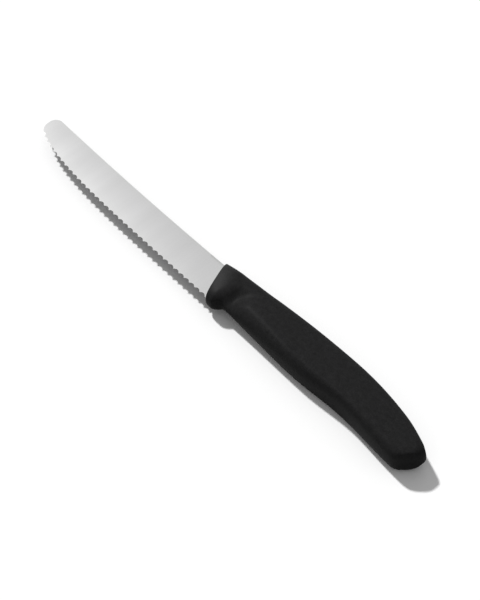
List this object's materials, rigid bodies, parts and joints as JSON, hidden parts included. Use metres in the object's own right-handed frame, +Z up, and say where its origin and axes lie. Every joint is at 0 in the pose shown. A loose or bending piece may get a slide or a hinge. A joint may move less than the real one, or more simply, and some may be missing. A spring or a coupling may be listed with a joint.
{
  "type": "tomato knife",
  "caption": "Small kitchen knife with a round-tipped, wavy-edged steel blade and a one-piece moulded handle with a finger guard and a hooked butt.",
  "frame": {"origin": "middle of the knife's outline seen from above, on the surface that the handle's flank rests on", "axes": "+X from the blade's tip to the handle's butt, +Y from the edge to the spine, +Z up from the flank that the knife lies on"},
  "size_m": [0.2248, 0.0212, 0.0132],
  "materials": {
    "steel": "finely ground stainless steel with a satin sheen",
    "moulding": "black plastic with a fine matt grain, smoother on the bolster"
  },
  "bodies": {
    "root": {"blade": "steel", "handle": "moulding"}
  },
  "joints": []
}
